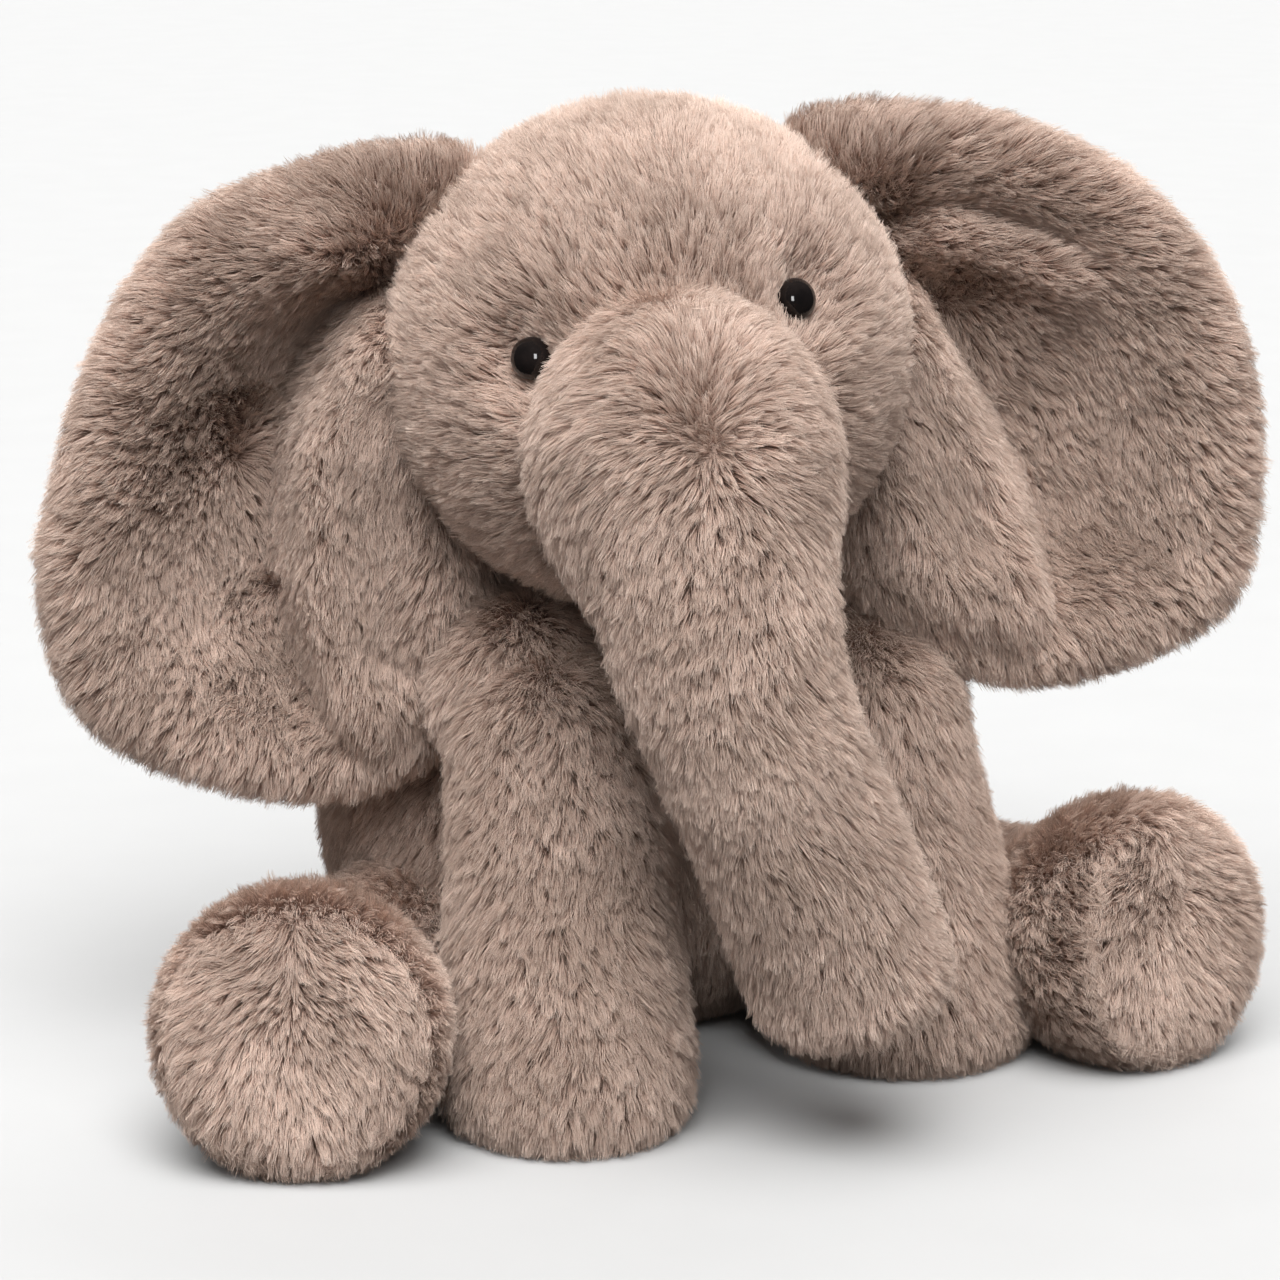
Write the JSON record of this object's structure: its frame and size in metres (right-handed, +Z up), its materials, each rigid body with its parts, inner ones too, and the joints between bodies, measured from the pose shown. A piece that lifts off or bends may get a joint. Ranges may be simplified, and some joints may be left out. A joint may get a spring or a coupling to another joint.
{
  "type": "plush elephant",
  "caption": "Seated stuffed elephant with big padded flap ears, a long curling trunk, splayed hind legs, upright forelegs, domed eyes and a small tail.",
  "frame": {"origin": "on the floor under the middle of the body, on the front part of the flat seat", "axes": "+Z up; the body faces -Y with the head turned a little to its right; the animal's right side is -X"},
  "size_m": [0.2795, 0.2231, 0.2269],
  "materials": {
    "fur": "matte pile",
    "stuffing": "matte fibre",
    "pellets": "matte",
    "pouch": "plain weave",
    "eye": "gloss",
    "washer": "matte",
    "thread": "matte cord",
    "label": "satin weave"
  },
  "bodies": {
    "torso": {"torso_cover": "fur", "torso_filling": "stuffing", "seat_pouch": "pouch", "seat_pellets": "pellets", "back_seam_cord": "thread", "sewn_label": "label"},
    "neck": {"neck_cover": "fur"},
    "neck_core": {"neck_filling": "stuffing"},
    "head": {"head_cover": "fur", "head_filling": "stuffing", "right_eye": "eye", "left_eye": "eye", "right_eye_washer": "washer", "left_eye_washer": "washer"},
    "right_ear": {"right_ear_front_cover": "fur", "right_ear_back_cover": "fur", "right_ear_filling": "stuffing"},
    "left_ear": {"left_ear_front_cover": "fur", "left_ear_back_cover": "fur", "left_ear_filling": "stuffing"},
    "trunk_upper": {"trunk_upper_cover": "fur", "trunk_upper_filling": "stuffing"},
    "trunk_lower": {"trunk_lower_cover": "fur", "trunk_lower_filling": "stuffing", "trunk_lower_panel": "fur"},
    "tail": {"tail_cover": "fur", "tail_filling": "stuffing"},
    "right_foreleg": {"right_foreleg_cover": "fur", "right_foreleg_filling": "stuffing", "right_foreleg_panel": "fur"},
    "left_foreleg": {"left_foreleg_cover": "fur", "left_foreleg_filling": "stuffing", "left_foreleg_panel": "fur"},
    "right_hindleg": {"right_hindleg_cover": "fur", "right_hindleg_filling": "stuffing", "right_hindleg_panel": "fur"},
    "left_hindleg": {"left_hindleg_cover": "fur", "left_hindleg_filling": "stuffing", "left_hindleg_panel": "fur"}
  },
  "joints": [
    {"name": "head_turn", "type": "hinge", "parent": "torso", "child": "neck", "pos_m": [-0.006, -0.018, 0.122], "axis": [0, 0, 1], "range_deg": [-8, 15], "stiffness_Nm_per_rad": 0.9},
    {"name": "head_nod", "type": "hinge", "parent": "neck", "child": "neck_core", "pos_m": [-0.006, -0.018, 0.122], "axis": [0.9488, -0.2489, 0.1942], "range_deg": [-6, 8], "stiffness_Nm_per_rad": 1.2},
    {"name": "head_tilt", "type": "hinge", "parent": "neck_core", "child": "head", "pos_m": [-0.006, -0.018, 0.122], "axis": [0.2397, 0.9683, 0.0701], "range_deg": [-4, 8], "stiffness_Nm_per_rad": 1.2},
    {"name": "right_ear_flap", "type": "hinge", "parent": "head", "child": "right_ear", "pos_m": [-0.05972, -0.01278, 0.15113], "axis": [-0.2055, -0.02, 0.9784], "range_deg": [-16, 18], "stiffness_Nm_per_rad": 0.05},
    {"name": "left_ear_flap", "type": "hinge", "parent": "head", "child": "left_ear", "pos_m": [0.04522, -0.03942, 0.16036], "axis": [0.2055, 0.02, -0.9784], "range_deg": [-16, 18], "stiffness_Nm_per_rad": 0.05},
    {"name": "trunk_lift", "type": "hinge", "parent": "head", "child": "trunk_upper", "pos_m": [-0.0228, -0.084, 0.15], "axis": [-0.9488, 0.2489, -0.1942], "range_deg": [0, 55], "stiffness_Nm_per_rad": 0.08},
    {"name": "trunk_curl", "type": "hinge", "parent": "trunk_upper", "child": "trunk_lower", "pos_m": [-0.0145, -0.107, 0.0924], "axis": [-0.9488, 0.2489, -0.1942], "range_deg": [-6, 40], "stiffness_Nm_per_rad": 0.05},
    {"name": "right_foreleg_swing", "type": "hinge", "parent": "torso", "child": "right_foreleg", "pos_m": [-0.0385, -0.045, 0.082], "axis": [-1, 0, 0], "range_deg": [0, 14], "stiffness_Nm_per_rad": 0.15},
    {"name": "left_foreleg_swing", "type": "hinge", "parent": "torso", "child": "left_foreleg", "pos_m": [0.042, -0.037, 0.082], "axis": [-1, 0, 0], "range_deg": [0, 14], "stiffness_Nm_per_rad": 0.15},
    {"name": "right_hindleg_splay", "type": "hinge", "parent": "torso", "child": "right_hindleg", "pos_m": [-0.05, 0.01, 0.024], "axis": [0, 0, -1], "range_deg": [0, 22], "stiffness_Nm_per_rad": 0.15},
    {"name": "left_hindleg_splay", "type": "hinge", "parent": "torso", "child": "left_hindleg", "pos_m": [0.052, 0.014, 0.024], "axis": [0, 0, 1], "range_deg": [0, 22], "stiffness_Nm_per_rad": 0.15},
    {"name": "tail_wag", "type": "hinge", "parent": "torso", "child": "tail", "pos_m": [0, 0.0735, 0.042], "axis": [0, 0, 1], "range_deg": [-30, 30], "stiffness_Nm_per_rad": 0.01}
  ]
}
